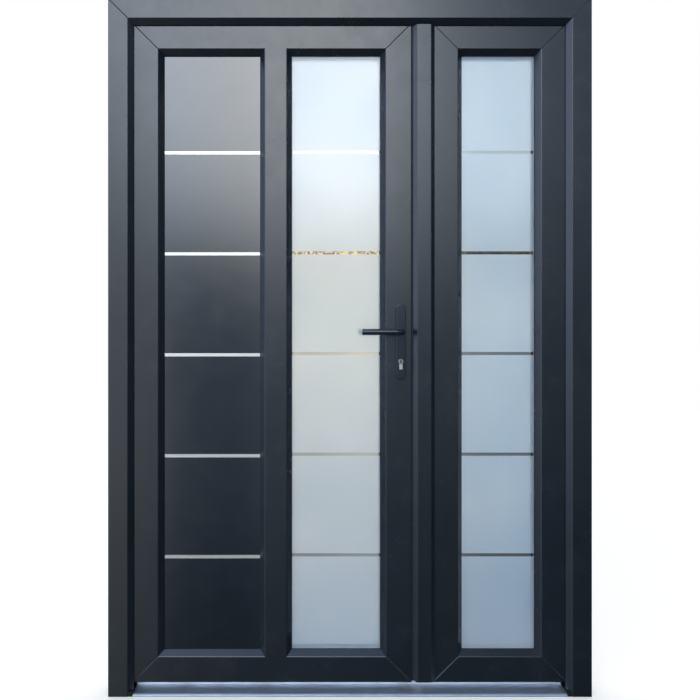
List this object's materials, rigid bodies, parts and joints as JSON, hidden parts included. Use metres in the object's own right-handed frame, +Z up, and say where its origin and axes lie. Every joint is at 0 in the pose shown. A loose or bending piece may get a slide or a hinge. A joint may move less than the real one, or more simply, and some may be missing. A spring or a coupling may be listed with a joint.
{
  "type": "double entrance door",
  "caption": "Inward-opening double entrance door in its frame: a wide leaf with a strip-trimmed panel and banded frosted glass, a narrow glazed leaf, lever handle and low threshold.",
  "frame": {"origin": "floor level under the middle of the threshold, halfway through the frame's depth", "axes": "+X to the right seen from outside, +Y indoors, +Z up"},
  "size_m": [1.5, 0.1832, 2.164],
  "materials": {
    "anthracite_profile": "satin grained foil, anthracite",
    "anthracite_panel": "smooth satin, anthracite",
    "black_seal": "matt rubber",
    "black_plastic": "moulded",
    "brush": "pile",
    "foam": "rigid foam",
    "galvanised_steel": "galvanised",
    "stainless_strip": "brushed satin",
    "lock_steel": "zinc plated",
    "sill_aluminium": "satin anodised",
    "spacer_aluminium": "mill finish",
    "clear_glass": "clear float glass",
    "frosted_glass": "sandblasted",
    "handle_coat": "satin powder coat, near black",
    "hinge_coat": "satin powder coat, near black",
    "nickel": "satin nickel"
  },
  "bodies": {
    "frame": {"left_jamb": "anthracite_profile", "right_jamb": "anthracite_profile", "head": "anthracite_profile", "frame_steels": "galvanised_steel", "frame_lip_gasket": "black_seal", "threshold": "sill_aluminium", "threshold_thermal_break": "black_plastic", "threshold_end_blocks": "black_plastic", "shoot_bolt_keeps": "lock_steel", "frame_hinge_plates": "hinge_coat", "hinge_pins": "hinge_coat"},
    "main_leaf": {"main_hinge_stile": "anthracite_profile", "main_lock_stile": "anthracite_profile", "main_top_rail": "anthracite_profile", "main_bottom_rail": "anthracite_profile", "main_mullion": "anthracite_profile", "main_leaf_steels": "galvanised_steel", "panel_skins": "anthracite_panel", "panel_core": "foam", "panel_strips": "stainless_strip", "main_glass_panes": "clear_glass", "main_glass_spacer": "spacer_aluminium", "main_glass_frosting": "frosted_glass", "main_glazing_beads": "anthracite_profile", "main_leaf_gaskets": "black_seal", "main_setting_blocks": "black_plastic", "main_bottom_brush": "brush", "main_hinge_plates": "hinge_coat", "lock_cases": "lock_steel", "lock_faceplate": "lock_steel", "lock_cylinder": "nickel", "outer_backplate": "handle_coat", "inner_backplate": "handle_coat", "handle_screws": "lock_steel"},
    "side_leaf": {"side_meeting_stile": "anthracite_profile", "side_hinge_stile": "anthracite_profile", "side_top_rail": "anthracite_profile", "side_bottom_rail": "anthracite_profile", "side_leaf_steels": "galvanised_steel", "side_glass_panes": "clear_glass", "side_glass_spacer": "spacer_aluminium", "side_glass_frosting": "frosted_glass", "side_glazing_beads": "anthracite_profile", "side_leaf_gaskets": "black_seal", "side_setting_blocks": "black_plastic", "side_bottom_brush": "brush", "side_hinge_plates": "hinge_coat", "cover_strip": "anthracite_profile", "cover_strip_caps": "black_plastic", "lock_keeps": "lock_steel"},
    "lever_set": {"outer_lever": "handle_coat", "inner_lever": "handle_coat", "lever_spindle": "lock_steel", "latch_follower": "lock_steel"},
    "latch": {"latch_bolt": "nickel"},
    "plug": {"cylinder_plug": "nickel"},
    "dead_bolt": {"dead_bolt": "nickel"},
    "end_bolts": {"end_lock_bolts": "nickel"},
    "top_shoot_bolt": {"top_shoot_bolt": "lock_steel"},
    "bottom_shoot_bolt": {"bottom_shoot_bolt": "lock_steel"}
  },
  "joints": [
    {"name": "main_leaf_hinge", "type": "hinge", "parent": "frame", "child": "main_leaf", "pos_m": [-0.709, 0.066, 1.065], "axis": [0, 0, 1], "range_deg": [0, 90]},
    {"name": "side_leaf_hinge", "type": "hinge", "parent": "frame", "child": "side_leaf", "pos_m": [0.709, 0.066, 1.065], "axis": [0, 0, -1], "range_deg": [0, 90]},
    {"name": "lever_turn", "type": "hinge", "parent": "main_leaf", "child": "lever_set", "pos_m": [0.159, 0.02, 1.13], "axis": [0, -1, 0], "range_deg": [0, 40], "stiffness_Nm_per_rad": 2, "springref_deg": -20.05},
    {"name": "latch_slide", "type": "slide", "parent": "main_leaf", "child": "latch", "axis": [1, 0, 0], "range_m": [-0.012, 0]},
    {"name": "key_turn", "type": "hinge", "parent": "main_leaf", "child": "plug", "pos_m": [0.159, 0.02, 1.038], "axis": [0, 1, 0], "range_deg": [0, 360.5]},
    {"name": "dead_bolt_slide", "type": "slide", "parent": "main_leaf", "child": "dead_bolt", "axis": [1, 0, 0], "range_m": [0, 0.02]},
    {"name": "end_bolts_slide", "type": "slide", "parent": "main_leaf", "child": "end_bolts", "axis": [1, 0, 0], "range_m": [0, 0.0201]},
    {"name": "top_shoot_bolt_slide", "type": "slide", "parent": "side_leaf", "child": "top_shoot_bolt", "axis": [0, 0, 1], "range_m": [-0.018, 0]},
    {"name": "bottom_shoot_bolt_slide", "type": "slide", "parent": "side_leaf", "child": "bottom_shoot_bolt", "axis": [0, 0, 1], "range_m": [0, 0.024]}
  ],
  "couplings": [
    {"joint": "latch_slide", "follows": "lever_turn", "m_per_rad": -0.017045},
    {"joint": "key_turn", "follows": "dead_bolt_slide", "rad_per_m": 314.16},
    {"joint": "end_bolts_slide", "follows": "dead_bolt_slide", "ratio": 1}
  ]
}
